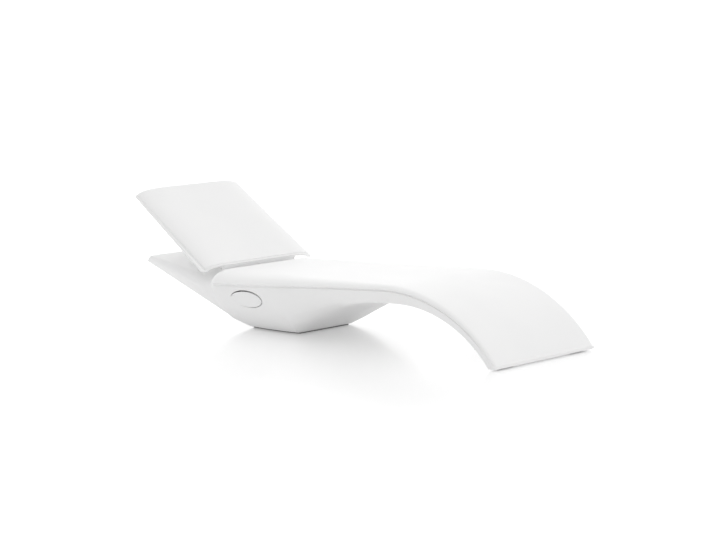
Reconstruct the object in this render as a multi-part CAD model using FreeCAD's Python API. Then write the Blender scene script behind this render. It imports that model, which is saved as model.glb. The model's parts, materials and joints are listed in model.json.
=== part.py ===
import FreeCAD, Part
import math
import os

V = FreeCAD.Vector
Y_AXIS = V(0, 1, 0)

# Sun lounger: a hollow moulded base (seat, swept leg, hull, keel, tail) and a hinged backrest
# Lengths are in millimetres; X runs from head (-) to foot (+), Z up, the floor is at zero
# Base places are distances back from the toe, heights are above the floor

# Base: side profile
SEAT_END = 1560.0
SEAT_REAR_HEIGHT = 262.0
KNEE_BACK = 540.0
KNEE_HEIGHT = 297.0
KNEE_THICK = 74.0
TOE_FACE_HEIGHT = 53.0
ARCH_BACK = 470.0
FOOT_INNER_BACK = 12.0
TOE_ROUND = 10.0
TOE_CREST = 1.0
KEEL_REAR_SET = 90.0
KEEL_LENGTH = 280.0
GLIDE_PROUD = 5.0
WALL = 6.0
CUT = 50.0

# Base: cross sections
REAR_HALF_WIDTH = 364.0
FOOT_TAPER = 24.0
FOOT_ROLL_WIDTH = 24.0
FOOT_ROLL_DROP = 15.0
REAR_ROLL_WIDTH = 130.0
REAR_ROLL_DROP = 48.0
LIP = 4.0
SIDE_DEPTH = 293.0
ARCH_SIDE_DRAFT = 25.0
HULL_LOW_HALF_WIDTH = 45.0
BILGE_HALF_WIDTH = 160.0
BILGE_SINK = 8.0
ROLL_POLE_share = 0.15
SIDE_POLE_share = 0.62
REAR_SIDE_POLE_share = 0.35
BILGE_POLE_share = 0.95
# Each station: place along the seat, share of the rear roll and width, share of the hull's flare,
# share of the drawn-in rear flank, share of the round bilge that turns the flank into the arch
STATION_shares = [
    (-0.040, 0.00, 0.00, 0.00, 0.00),
    (0.060, 0.00, 0.00, 0.00, 0.00),
    (0.180, 0.03, 0.00, 0.00, 0.00),
    (0.345, 0.10, 0.00, 0.00, 0.00),
    (0.450, 0.20, 0.08, 0.00, 0.40),
    (0.550, 0.32, 0.30, 0.00, 1.00),
    (0.630, 0.45, 0.60, 0.00, 1.00),
    (0.700, 0.58, 0.85, 0.00, 0.70),
    (0.760, 0.70, 1.00, 0.00, 0.00),
    (0.880, 0.88, 1.00, 0.25, 0.00),
    (1.000, 1.00, 1.00, 1.00, 0.00),
]
STATION_COUNT = 30
SEAT_CORNER = 40.0
CHORD_COUNT = 3

# Hinge axis and the tail behind the seat, in line with the axis
HINGE_SET = 40.0
HINGE_DROP = 26.0
TAIL_ANGLE = 10.2
TAIL_DEPTH = 15.5
TAIL_LENGTH = 395.0
TAIL_OVERLAP = 30.0
TAIL_TIP_THICK = 30.0
TAIL_TIP_LEAN_share = 1.0
TAIL_SIDE_SET = 38.0
TAIL_TAPER = 29.0
TAIL_ROOT_ROLL_WIDTH = 70.0
TAIL_ROOT_ROLL_DROP = 46.0
TAIL_TIP_ROLL_WIDTH = 16.0
TAIL_TIP_ROLL_DROP = 9.0
TAIL_ROOT_DRAFT = 112.0
TAIL_TIP_DRAFT = 9.0

# Backrest panel, in its own frame: hinge axis at the origin, X forward, Z out of the front face
REST_ANGLE = 34.8
PANEL_START = 8.0
PANEL_LENGTH = 548.0
PANEL_FACE = 48.0
PANEL_THICK = 31.0
PANEL_LOW_RIM = 20.0
PANEL_HEAD_RIM = 6.0
PANEL_SIDE_SET = 3.0
PANEL_TAPER = 28.0
PANEL_LOW_ROLL_WIDTH = 120.0
PANEL_HEAD_ROLL_WIDTH = 230.0
PANEL_LOW_ROLL_DROP = 12.0
PANEL_HEAD_ROLL_DROP = 30.0
PANEL_ROLL_POLE_share = 0.22
PANEL_WALL = 5.0
PANEL_FACE_WALL = 8.0
CORE_LOW_SET = 2.0
CORE_HEAD_SET = 40.0
CORE_SIDE_SET = 125.0
CORE_ROUND = 10.0
TONGUE_SIDE_SET = 218.0
BARREL_RADIUS = 12.0
TONGUE_LENGTH = 40.0

# Hinge hardware
AXLE_RADIUS = 5.0
RUN_FIT = 0.05
BUSH_WALL = 3.0
BUSH_LENGTH = 24.0
BUSH_FLANGE = 2.0
SIDE_PLAY = 0.5
EAR_THICK = 8.0
EAR_ROUND = 11.0
BRACKET_PLATE = 4.0
BRACKET_LENGTH = 42.0
BRACKET_WIDTH = 56.0
BOLT_SPACING = 22.0
BOLT_FORWARD = 20.0
BOLT_RADIUS = 4.0
BOLT_HEAD_RADIUS = 7.0
BOLT_HEAD_HEIGHT = 5.0
BOLT_LENGTH = 20.0
INSERT_RADIUS = 7.0
INSERT_LENGTH = 16.0
BOSS_WALL = 6.0
NUT_RADIUS = 9.0
NUT_LENGTH = 9.0

# Prop bail under the panel and the rack on the tail, whose notches are angles from the rest pose
PROP_FOOT_MARGIN = 65.0
PROP_HALF_WIDTH = 120.0
PROP_RADIUS = 6.0
PROP_BEND = 18.0
PROP_STUB_BEND = 10.0
PROP_STUB_END = 6.0
SLEEVE_WALL = 3.0
SLEEVE_LENGTH = 190.0
PROP_BRACKET_LENGTH = 44.0
PROP_BRACKET_BLOCK = 12.0
PROP_BRACKET_WALL = 3.0
PROP_BRACKET_RELIEF = 1.0
PROP_BRACKET_FLANGE = 4.0
PROP_SCREW_SPACING = 32.0
SCREW_RADIUS = 2.5
SCREW_HEAD_RADIUS = 4.5
SCREW_HEAD_HEIGHT = 2.5
SCREW_LENGTH = 12.0
RACK_START = 150.0
RACK_MARGIN = 20.0
RACK_WIDTH = 24.0
RACK_HALF_SPACING = 62.0
RACK_GAP = 0.5
NOTCH_STEPS = [-11.0, 0.0, 10.0, 20.0]
NOTCH_DEPTH = 2.0
BUMP_RADIUS = 12.0
BUMP_HALF_SPACING = 38.0
BUMP_TIP_SET = 28.0
BUMP_RELIEF = 7.2
BUMP_ROUND_share = 0.25

# Caps, glides and plugs
OVAL_REAR_SET = 223.0
OVAL_DROP = 102.0
OVAL_LENGTH = 178.0
OVAL_TALL = 70.0
OVAL_TILT = -1.0
OVAL_GAP = 5.0
OVAL_DEPTH = 48.0
GLIDE_SINK = 3.0
KEEL_GLIDE_RADIUS = 20.0
KEEL_GLIDE_INSET = 36.0
FOOT_GLIDE_LENGTH = 90.0
FOOT_GLIDE_WIDTH = 12.0
FOOT_GLIDE_HALF_SPACING = 240.0
PLUG_RADIUS = 9.0
PLUG_SET = 70.0
PLUG_HEAD_RADIUS = 13.0
PLUG_HEAD_HEIGHT = 3.0


def lerp(low, high, share):
    return low + (high - low) * share


def arc_rise_radius(run, rise):
    return (run * run + rise * rise) / (2 * rise)


# Worked out from the sizes above
KEEL_HEIGHT = GLIDE_PROUD
LEG_RADIUS = arc_rise_radius(KNEE_BACK, KNEE_HEIGHT - TOE_FACE_HEIGHT)
ARCH_HEIGHT = KNEE_HEIGHT - KNEE_THICK
KEEL_REAR_BACK = SEAT_END - KEEL_REAR_SET
KEEL_FRONT_BACK = KEEL_REAR_BACK - KEEL_LENGTH
ARCH_RADIUS = arc_rise_radius(KEEL_FRONT_BACK - ARCH_BACK, ARCH_HEIGHT - KEEL_HEIGHT)
FOOT_HALF_WIDTH = REAR_HALF_WIDTH - FOOT_TAPER
HINGE_BACK = SEAT_END + HINGE_SET
HINGE_HEIGHT = SEAT_REAR_HEIGHT - HINGE_DROP
HINGE = V(-HINGE_BACK, 0, HINGE_HEIGHT)
TAIL_ROOT_BACK = SEAT_END - TAIL_OVERLAP
TAIL_ROOT_HALF_WIDTH = REAR_HALF_WIDTH - TAIL_SIDE_SET
TAIL_TIP_HALF_WIDTH = TAIL_ROOT_HALF_WIDTH - TAIL_TAPER
TAIL_ROOT_LOW_HALF_WIDTH = TAIL_ROOT_HALF_WIDTH - TAIL_ROOT_DRAFT
TAIL_TIP_LOW_HALF_WIDTH = TAIL_TIP_HALF_WIDTH - TAIL_TIP_DRAFT
PANEL_LOW_HALF_WIDTH = REAR_HALF_WIDTH - PANEL_SIDE_SET
PANEL_HEAD_HALF_WIDTH = PANEL_LOW_HALF_WIDTH - PANEL_TAPER
OVAL_BACK = SEAT_END - OVAL_REAR_SET
OVAL_HEIGHT = SEAT_REAR_HEIGHT - OVAL_DROP
OVAL_FLOOR_HALF_WIDTH = REAR_HALF_WIDTH - OVAL_DEPTH
TAIL_SLOPE = math.tan(math.radians(TAIL_ANGLE))
TAIL_TIP_BACK = HINGE_BACK + TAIL_LENGTH * math.cos(math.radians(TAIL_ANGLE))


def tail_height(back):
    """Height of the tail's flat top, which runs parallel to the prop foot's path."""
    under_axis = TAIL_DEPTH / math.cos(math.radians(TAIL_ANGLE))
    return HINGE_HEIGHT - under_axis + (back - HINGE_BACK) * TAIL_SLOPE


def top_height(back):
    """Height of the seat's middle line: a straight seat that runs into the leg's long arc."""
    lean = math.atan2(KNEE_HEIGHT - SEAT_REAR_HEIGHT, SEAT_END - KNEE_BACK)
    tangent_back = KNEE_BACK + LEG_RADIUS * math.sin(lean)
    if back > tangent_back:
        tangent_height = KNEE_HEIGHT - LEG_RADIUS * (1 - math.cos(lean))
        seat_slope = (tangent_height - SEAT_REAR_HEIGHT) / (SEAT_END - tangent_back)
        return tangent_height - (back - tangent_back) * seat_slope
    run = min(KNEE_BACK - back, LEG_RADIUS)
    return KNEE_HEIGHT - LEG_RADIUS + math.sqrt(LEG_RADIUS ** 2 - run ** 2)


def closed_section(points_right, lean_from, lean):
    """A closed wire across the body from its right half: each item is a line end or a curve's poles."""
    edges = []
    for run in points_right:
        edges.append(section_edge(run, 1, lean_from, lean))
    for run in reversed(points_right):
        edges.append(section_edge(list(reversed(run)), -1, lean_from, lean))
    return Part.Wire(edges)


def section_edge(poles, side, lean_from, lean):
    places = [V(x - (lean_from - z) * lean, side * y, z) for x, y, z in poles]
    if len(places) == 2:
        return Part.makeLine(places[0], places[1])
    curve = Part.BezierCurve()
    curve.setPoles(places)
    return curve.toShape()


def body_section(back, top, half, roll, drop, lip, low_half, low, pole_share, inset, lean=0.0):
    """One cross section: flat middle, rolled shoulder, set-in lip, side that draws in to the underside."""
    x = -back
    top = top - inset
    half = half - inset
    crease = top - drop
    side = half - lip
    low_half = low_half - inset
    pole = lerp(crease, low, pole_share)
    right = [
        [(x, 0, top), (x, half - roll, top)],
        [(x, half - roll, top), (x, half - roll * ROLL_POLE_share, top), (x, half, crease)],
        [(x, side, crease), (x, side, pole), (x, low_half, low)],
        [(x, low_half, low), (x, 0, low)],
    ]
    if lip:
        right.insert(2, [(x, half, crease), (x, side, crease)])
    if inset:
        right = [chord for run in right for chord in chords(run)]
    return closed_section(right, top, lean)


def chords(poles):
    """A few straight runs in place of a curve, for the hollow inside."""
    if len(poles) == 2:
        return [poles]
    places = []
    for step in range(CHORD_COUNT + 1):
        along = step / CHORD_COUNT
        weights = ((1 - along) ** 2, 2 * along * (1 - along), along ** 2)
        places.append(tuple(sum(w * pole[i] for w, pole in zip(weights, poles)) for i in range(3)))
    return [list(pair) for pair in zip(places, places[1:])]


def arch_height(back):
    """Height of the arch's underside between its apex and the keel."""
    run = min(max(back, ARCH_BACK), KEEL_FRONT_BACK) - ARCH_BACK
    return ARCH_HEIGHT - ARCH_RADIUS + math.sqrt(ARCH_RADIUS ** 2 - run ** 2)


def corner_draw(distance):
    """How far the side draws in near the seat's rear end, which rounds its corners."""
    gap = max(0.0, SEAT_CORNER - distance)
    return SEAT_CORNER - math.sqrt(SEAT_CORNER ** 2 - gap ** 2)


def shares_at(place):
    """The shares at a place along the seat, on a smooth curve through the stations."""
    last = len(STATION_shares) - 1
    index = min(sum(place >= row[0] for row in STATION_shares), last) - 1
    span = STATION_shares[index + 1][0] - STATION_shares[index][0]
    along = (place - STATION_shares[index][0]) / span
    slopes = []
    for at in (index, index + 1):
        before = STATION_shares[max(at - 1, 0)]
        after = STATION_shares[min(at + 1, last)]
        slopes.append([(b - a) / (after[0] - before[0]) * span for a, b in zip(before, after)])
    ease = along * along * (3 - 2 * along)
    leaving = along * (1 - along) ** 2
    arriving = along * along * (along - 1)
    shares = []
    for column in range(1, len(STATION_shares[0])):
        share = lerp(STATION_shares[index][column], STATION_shares[index + 1][column], ease)
        share += leaving * slopes[0][column] + arriving * slopes[1][column]
        shares.append(min(max(share, 0.0), 1.0))
    return shares


def hull_sections(inset):
    wires = []
    places = [lerp(STATION_shares[0][0], STATION_shares[-1][0], step / STATION_COUNT)
              for step in range(STATION_COUNT)]
    places += [1 - SEAT_CORNER / 2 / SEAT_END, 1.0]
    for place in places:
        roll, flare, rear, bilge = shares_at(place)
        back = place * SEAT_END
        half = lerp(FOOT_HALF_WIDTH, REAR_HALF_WIDTH, min(1.0, place + roll) if place > 0 else 0.0)
        half -= corner_draw(SEAT_END - back)
        top = top_height(back)
        drop = lerp(FOOT_ROLL_DROP, REAR_ROLL_DROP, roll)
        low_half = lerp(half - ARCH_SIDE_DRAFT, HULL_LOW_HALF_WIDTH, flare)
        low_half = lerp(low_half, BILGE_HALF_WIDTH, bilge)
        low = lerp(top - drop - SIDE_DEPTH, arch_height(back) - BILGE_SINK, bilge)
        pole_share = lerp(lerp(SIDE_POLE_share, REAR_SIDE_POLE_share, rear), BILGE_POLE_share, bilge)
        wires.append(body_section(back, top, half, lerp(FOOT_ROLL_WIDTH, REAR_ROLL_WIDTH, roll), drop,
                                  LIP, low_half, low, pole_share, inset))
    return wires


def ramp_height(back):
    """Height of the sloping underside behind the keel, straight from the keel to the tail's tip."""
    tip_low = tail_height(TAIL_TIP_BACK) - TAIL_TIP_THICK
    run = TAIL_TIP_BACK + TAIL_TIP_THICK * TAIL_TIP_LEAN_share - KEEL_REAR_BACK
    return KEEL_HEIGHT + (back - KEEL_REAR_BACK) * (tip_low - KEEL_HEIGHT) / run


def side_profile():
    """The base's side view below the seat: foot, arch, keel and the start of the rear ramp."""
    apex = V(-ARCH_BACK, 0, ARCH_HEIGHT)
    foot = V(-FOOT_INNER_BACK, 0, KEEL_HEIGHT)
    keel_front = V(-KEEL_FRONT_BACK, 0, KEEL_HEIGHT)
    keel_rear = V(-KEEL_REAR_BACK, 0, KEEL_HEIGHT)
    end = V(-SEAT_END, 0, ramp_height(SEAT_END))
    over = KNEE_HEIGHT + CUT
    nose, crest, under = toe_nose()
    corners = [keel_front, keel_rear, end, V(-SEAT_END, 0, over), V(crest.x, 0, over), crest]
    edges = [Part.Arc(crest, nose, under).toShape(), Part.makeLine(under, foot)]
    edges += [arch_arc(foot, apex), arch_arc(apex, keel_front)]
    for first, second in zip(corners, corners[1:]):
        edges.append(Part.makeLine(first, second))
    return Part.Face(Part.Wire(edges))


def toe_nose():
    """Points of the toe's round nose: its front, its top just clear of the leg's face, and its floor end."""
    centre_height = KEEL_HEIGHT + TOE_ROUND
    above = centre_height - (KNEE_HEIGHT - LEG_RADIUS)
    reach = LEG_RADIUS + TOE_CREST - TOE_ROUND
    centre = V(-KNEE_BACK + math.sqrt(reach ** 2 - above ** 2), 0, centre_height)
    out = (centre - V(-KNEE_BACK, 0, KNEE_HEIGHT - LEG_RADIUS)).normalize()
    return centre + V(TOE_ROUND, 0, 0), centre + out * TOE_ROUND, centre - V(0, 0, TOE_ROUND)


def arch_arc(start, end):
    """Arc that is level at the arch's apex and reaches the floor line at its other end."""
    low, apex = (start, end) if start.z < end.z else (end, start)
    radius = arc_rise_radius(abs(apex.x - low.x), apex.z - low.z)
    centre = V(apex.x, 0, apex.z - radius)
    toward = (start + end) * 0.5 - centre
    return Part.Arc(start, centre + toward.normalize() * radius, end).toShape()


def hull_form(inset):
    face = side_profile()
    if inset:
        face = face.makeOffset2D(-inset)
    reach = REAR_HALF_WIDTH + CUT
    face.translate(V(0, -reach, 0))
    profile = face.extrude(V(0, reach * 2, 0))
    body = Part.makeLoft(hull_sections(inset), True, True)
    return body.common(profile)


def tail_form(inset):
    root_low = ramp_height(TAIL_ROOT_BACK) + inset
    tip_low = tail_height(TAIL_TIP_BACK) - TAIL_TIP_THICK + inset
    root = body_section(TAIL_ROOT_BACK, tail_height(TAIL_ROOT_BACK), TAIL_ROOT_HALF_WIDTH,
                        TAIL_ROOT_ROLL_WIDTH, TAIL_ROOT_ROLL_DROP, 0.0, TAIL_ROOT_LOW_HALF_WIDTH, root_low,
                        REAR_SIDE_POLE_share, inset)
    tip = body_section(TAIL_TIP_BACK - inset, tail_height(TAIL_TIP_BACK - inset), TAIL_TIP_HALF_WIDTH,
                       TAIL_TIP_ROLL_WIDTH, TAIL_TIP_ROLL_DROP, 0.0, TAIL_TIP_LOW_HALF_WIDTH, tip_low,
                       REAR_SIDE_POLE_share, inset, TAIL_TIP_LEAN_share)
    return Part.makeLoft([root, tip], True, True)


def moved(shape, angle):
    """Turns a piece built about the hinge axis by an angle and carries it to the axis."""
    placed = shape.copy()
    placed.rotate(V(0, 0, 0), Y_AXIS, angle)
    placed.translate(HINGE)
    return placed


def on_tail(shape):
    return moved(shape, TAIL_ANGLE)


def on_panel(shape):
    return moved(shape, REST_ANGLE)


def upright(radius, height, x, y, z):
    return Part.makeCylinder(radius, height, V(x, y, z))


def across(radius, length, x, y, z):
    return Part.makeCylinder(radius, length, V(x, y, z), Y_AXIS)


def block(x_low, x_high, y_low, y_high, z_low, z_high):
    return Part.makeBox(x_high - x_low, y_high - y_low, z_high - z_low, V(x_low, y_low, z_low))


def mirrored(shape):
    return shape.mirror(V(0, 0, 0), Y_AXIS)


def both_sides(shapes):
    return Part.makeCompound(shapes + [mirrored(shape) for shape in shapes])


def joined(shapes):
    result = shapes[0]
    for shape in shapes[1:]:
        result = result.fuse(shape)
    return result.removeSplitter()


# Places that several pieces share
TONGUE_HALF_WIDTH = PANEL_LOW_HALF_WIDTH - TONGUE_SIDE_SET
CORE_START = PANEL_START + CORE_LOW_SET
CORE_END = PANEL_START + PANEL_LENGTH - CORE_HEAD_SET
TAIL_TOP = -TAIL_DEPTH
EAR_INNER = TONGUE_HALF_WIDTH + SIDE_PLAY + BUSH_FLANGE
BRACKET_TOP = TAIL_TOP + BRACKET_PLATE
BOLT_Y = EAR_INNER + EAR_THICK + (BRACKET_WIDTH - EAR_THICK) / 2
PANEL_BACK = PANEL_FACE - PANEL_THICK
RACK_TOP = -(PROP_RADIUS + SLEEVE_WALL) - RACK_GAP
PROP_REACH = (TAIL_LENGTH - PROP_FOOT_MARGIN) / 2
PROP_BRACKET_ROUND = PROP_RADIUS + PROP_BRACKET_WALL
PROP_AXIS_HEIGHT = PANEL_BACK - PROP_BRACKET_ROUND - PROP_BRACKET_RELIEF
PROP_BRACKET_INNER = PROP_HALF_WIDTH + PROP_STUB_BEND + SIDE_PLAY
PROP_LENGTH = math.hypot(PROP_REACH, PROP_AXIS_HEIGHT)
PROP_REST_LINE = REST_ANGLE - TAIL_ANGLE + math.degrees(math.atan2(PROP_AXIS_HEIGHT, PROP_REACH))
RACK_LENGTH = 2 * PROP_LENGTH + RACK_MARGIN - RACK_START
BUMP_BACK = TAIL_LENGTH - BUMP_TIP_SET
BUMP_HEIGHT = TAIL_DEPTH + PANEL_BACK - BUMP_RELIEF
KEEL_GLIDE_PLACES = [-KEEL_FRONT_BACK - KEEL_GLIDE_INSET, -KEEL_REAR_BACK + KEEL_GLIDE_INSET]


def keel_half_width(form):
    """Half width of the flat keel, read from the base's form just above the floor line."""
    low = block(-KEEL_REAR_BACK, -KEEL_FRONT_BACK, 0, REAR_HALF_WIDTH, 0, KEEL_HEIGHT + LIP)
    return form.common(low).optimalBoundingBox().YMax


# Oval cap and its socket in the hull's side
def oval(grow, y_low, y_high):
    """Oval prism that runs across the hull at the cap's place."""
    ellipse = Part.Ellipse(V(0, 0, 0), OVAL_LENGTH / 2 + grow, OVAL_TALL / 2 + grow)
    face = Part.Face(Part.Wire(ellipse.toShape()))
    face.rotate(V(0, 0, 0), V(1, 0, 0), 90)
    face.rotate(V(0, 0, 0), Y_AXIS, OVAL_TILT)
    face.translate(V(-OVAL_BACK, y_low, OVAL_HEIGHT))
    return face.extrude(V(0, y_high - y_low, 0))


def oval_socket(grow):
    return oval(OVAL_GAP + grow, OVAL_FLOOR_HALF_WIDTH - grow, REAR_HALF_WIDTH + CUT)


def oval_cap(form, inner):
    """Cap flush with the hull, with a set-back flange that fills its socket."""
    reach = REAR_HALF_WIDTH + CUT
    face = oval(0, OVAL_FLOOR_HALF_WIDTH, reach).common(form)
    flange = oval(OVAL_GAP - SIDE_PLAY, OVAL_FLOOR_HALF_WIDTH, reach).common(inner)
    return joined([face, flange])


# Glides under the keel and the foot
def keel_glides(form, top):
    y = keel_half_width(form) - KEEL_GLIDE_INSET
    return [upright(KEEL_GLIDE_RADIUS, top, x, y, 0) for x in KEEL_GLIDE_PLACES]


def foot_glides(top):
    x = -FOOT_INNER_BACK + FOOT_GLIDE_WIDTH / 2
    return [block(x, x + FOOT_GLIDE_WIDTH, FOOT_GLIDE_HALF_SPACING - FOOT_GLIDE_LENGTH / 2,
                  FOOT_GLIDE_HALF_SPACING + FOOT_GLIDE_LENGTH / 2, 0, top)]


# Fixings on the tail
def bolt_places():
    return [(BOLT_FORWARD, BOLT_Y - BOLT_SPACING / 2), (BOLT_FORWARD, BOLT_Y + BOLT_SPACING / 2)]


def tail_inserts():
    pieces = []
    for x, y in bolt_places():
        body = upright(INSERT_RADIUS, INSERT_LENGTH, x, y, TAIL_TOP - INSERT_LENGTH)
        pieces.append(body.cut(upright(BOLT_RADIUS + RUN_FIT, INSERT_LENGTH, x, y, TAIL_TOP - INSERT_LENGTH)))
    return pieces


def tail_bosses():
    depth = BOLT_LENGTH + BOSS_WALL
    return [upright(INSERT_RADIUS + BOSS_WALL, depth, x, y, TAIL_TOP - depth) for x, y in bolt_places()]


def tail_boss_holes():
    holes = []
    for x, y in bolt_places():
        holes.append(upright(INSERT_RADIUS, INSERT_LENGTH, x, y, TAIL_TOP - INSERT_LENGTH))
        holes.append(upright(BOLT_RADIUS + RUN_FIT, BOLT_LENGTH, x, y, TAIL_TOP - BOLT_LENGTH))
    return holes


def bracket_bolts():
    pieces = []
    for x, y in bolt_places():
        head = upright(BOLT_HEAD_RADIUS, BOLT_HEAD_HEIGHT, x, y, BRACKET_TOP)
        shank = upright(BOLT_RADIUS, BOLT_LENGTH, x, y, BRACKET_TOP - BOLT_LENGTH)
        pieces.append(head.fuse(shank))
    return pieces


def hinge_bracket():
    """Folded bracket: a foot plate on the tail and a rounded ear that carries the axle's bush."""
    plate = block(-EAR_ROUND, BRACKET_LENGTH - EAR_ROUND, EAR_INNER, EAR_INNER + BRACKET_WIDTH,
                  TAIL_TOP, BRACKET_TOP)
    ear = block(-EAR_ROUND, EAR_ROUND, EAR_INNER, EAR_INNER + EAR_THICK, TAIL_TOP, 0)
    ear = ear.fuse(across(EAR_ROUND, EAR_THICK, 0, EAR_INNER, 0))
    body = joined([plate, ear])
    body = body.cut(across(AXLE_RADIUS + RUN_FIT + BUSH_WALL, EAR_THICK + CUT, 0, EAR_INNER - CUT / 2, 0))
    for x, y in bolt_places():
        body = body.cut(upright(BOLT_RADIUS + RUN_FIT, BRACKET_PLATE + CUT, x, y, TAIL_TOP - CUT / 2))
    return body


def bracket_bush():
    body = across(AXLE_RADIUS + RUN_FIT + BUSH_WALL, EAR_THICK, 0, EAR_INNER, 0)
    return body.cut(across(AXLE_RADIUS + RUN_FIT, EAR_THICK + CUT, 0, EAR_INNER - CUT / 2, 0))


def barrel_bush():
    """Flanged bush in each end of the backrest's barrel; its flange runs against the bracket's ear."""
    inner = TONGUE_HALF_WIDTH - BUSH_LENGTH
    body = across(AXLE_RADIUS + RUN_FIT + BUSH_WALL, BUSH_LENGTH, 0, inner, 0)
    flange = across(BARREL_RADIUS - SIDE_PLAY, BUSH_FLANGE, 0, TONGUE_HALF_WIDTH, 0)
    return joined([body, flange]).cut(across(AXLE_RADIUS + RUN_FIT, BUSH_LENGTH + CUT, 0, inner - CUT / 2, 0))


def hinge_axle():
    end = EAR_INNER + EAR_THICK + NUT_LENGTH - BUSH_FLANGE
    return across(AXLE_RADIUS, end * 2, 0, -end, 0)


def axle_nut():
    """Cap nut with a coned end on the axle."""
    start = EAR_INNER + EAR_THICK
    corners = []
    for corner in range(7):
        turn = math.radians(60 * corner)
        corners.append(V(NUT_RADIUS * math.cos(turn), start, NUT_RADIUS * math.sin(turn)))
    body = Part.Face(Part.makePolygon(corners)).extrude(V(0, NUT_LENGTH, 0))
    slope = Part.makeCone(NUT_RADIUS + NUT_LENGTH / 2, NUT_RADIUS / 2, NUT_LENGTH, V(0, start, 0), Y_AXIS)
    nut = body.common(slope)
    return nut.cut(across(AXLE_RADIUS, NUT_LENGTH - BUSH_FLANGE, 0, start, 0))


# Rack strips, their screws and the bump stops on the tail
def rack_strip():
    """Strip with shallow scallops where the prop's foot settles."""
    strip = block(-RACK_START - RACK_LENGTH, -RACK_START, RACK_HALF_SPACING - RACK_WIDTH / 2,
                  RACK_HALF_SPACING + RACK_WIDTH / 2, TAIL_TOP, RACK_TOP)
    foot_radius = PROP_RADIUS + SLEEVE_WALL + RACK_GAP
    y = RACK_HALF_SPACING
    for step in NOTCH_STEPS:
        place = -2 * PROP_LENGTH * math.cos(math.radians(PROP_REST_LINE + step))
        strip = strip.cut(across(foot_radius, RACK_WIDTH * 2, place, y - RACK_WIDTH, -NOTCH_DEPTH))
    for x in rack_screw_places():
        sink = RACK_TOP - SCREW_HEAD_HEIGHT
        strip = strip.cut(upright(SCREW_RADIUS + RUN_FIT, TAIL_DEPTH, x, y, TAIL_TOP))
        strip = strip.cut(upright(SCREW_HEAD_RADIUS + SIDE_PLAY, TAIL_DEPTH, x, y, sink))
    return strip


def rack_screw_places():
    return [-RACK_START - SCREW_HEAD_RADIUS * 2, -RACK_START - RACK_LENGTH + SCREW_HEAD_RADIUS * 2]


def rack_screws():
    pieces = []
    for x in rack_screw_places():
        head_low = RACK_TOP - SCREW_HEAD_HEIGHT
        head = upright(SCREW_HEAD_RADIUS, SCREW_HEAD_HEIGHT - SIDE_PLAY, x, RACK_HALF_SPACING, head_low)
        shank = upright(SCREW_RADIUS, SCREW_LENGTH, x, RACK_HALF_SPACING, head_low - SCREW_LENGTH)
        pieces.append(head.fuse(shank))
    return pieces


def rack_screw_holes():
    low = RACK_TOP - SCREW_HEAD_HEIGHT - SCREW_LENGTH
    return [upright(SCREW_RADIUS, SCREW_LENGTH, x, RACK_HALF_SPACING, low) for x in rack_screw_places()]


def rack_screw_bosses():
    radius = SCREW_RADIUS + BOSS_WALL
    depth = SCREW_LENGTH + BOSS_WALL
    return [upright(radius, depth, x, RACK_HALF_SPACING, TAIL_TOP - depth) for x in rack_screw_places()]


def bump_stop():
    pad = upright(BUMP_RADIUS, BUMP_HEIGHT, -BUMP_BACK, BUMP_HALF_SPACING, TAIL_TOP)
    top_edges = [edge for edge in pad.Edges if edge.BoundBox.ZMin > TAIL_TOP + BUMP_HEIGHT / 2]
    return pad.makeChamfer(BUMP_RADIUS * BUMP_ROUND_share, top_edges)


# Base shell
def base_void(inner):
    """Hollow of the base, with material kept round the oval sockets and the fixings on the tail."""
    void = inner.fuse(tail_form(WALL))
    keep = [oval_socket(WALL)]
    keep += [on_tail(shape) for shape in tail_bosses() + rack_screw_bosses()]
    return void.cut(keep + [mirrored(shape) for shape in keep])


def base_form():
    return hull_form(0.0).fuse(tail_form(0.0)).removeSplitter()


def base_shell(form, inner):
    shell = form.cut(base_void(inner))
    cuts = [oval_socket(0.0)]
    cuts += keel_glides(form, KEEL_HEIGHT + GLIDE_SINK)
    cuts += foot_glides(KEEL_HEIGHT + GLIDE_SINK)
    cuts += [on_tail(shape) for shape in tail_boss_holes() + rack_screw_holes()]
    cuts += [mirrored(shape) for shape in cuts]
    return shell.cut(cuts + [base_vent_plug()])


def base_vent_plug():
    """Plug that closes the moulding's vent, in the middle of the keel."""
    x = -(KEEL_FRONT_BACK + KEEL_REAR_BACK) / 2
    head = upright(PLUG_HEAD_RADIUS, PLUG_HEAD_HEIGHT, x, 0, KEEL_HEIGHT)
    return head.fuse(upright(PLUG_RADIUS, WALL, x, 0, KEEL_HEIGHT)).removeSplitter()


# Backrest panel
def panel_section(x, half, roll, drop, rim):
    """Section across the crowned lid: flat middle, rolled sides and a rim."""
    face = PANEL_FACE
    under = face - rim
    flat = half - roll
    pole = half - roll * PANEL_ROLL_POLE_share
    right = [
        [(x, 0, face), (x, flat, face)],
        [(x, flat, face), (x, pole, face), (x, half, face - drop)],
        [(x, half, face - drop), (x, half, under - drop)],
        [(x, half, under - drop), (x, pole, under), (x, flat, under)],
        [(x, flat, under), (x, 0, under)],
    ]
    return closed_section(right, face, 0.0)


def panel_lid():
    low = panel_section(-PANEL_START, PANEL_LOW_HALF_WIDTH, PANEL_LOW_ROLL_WIDTH, PANEL_LOW_ROLL_DROP,
                        PANEL_LOW_RIM)
    head = panel_section(-PANEL_START - PANEL_LENGTH, PANEL_HEAD_HALF_WIDTH, PANEL_HEAD_ROLL_WIDTH,
                         PANEL_HEAD_ROLL_DROP, PANEL_HEAD_RIM)
    return Part.makeLoft([low, head], True, True)


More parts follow.
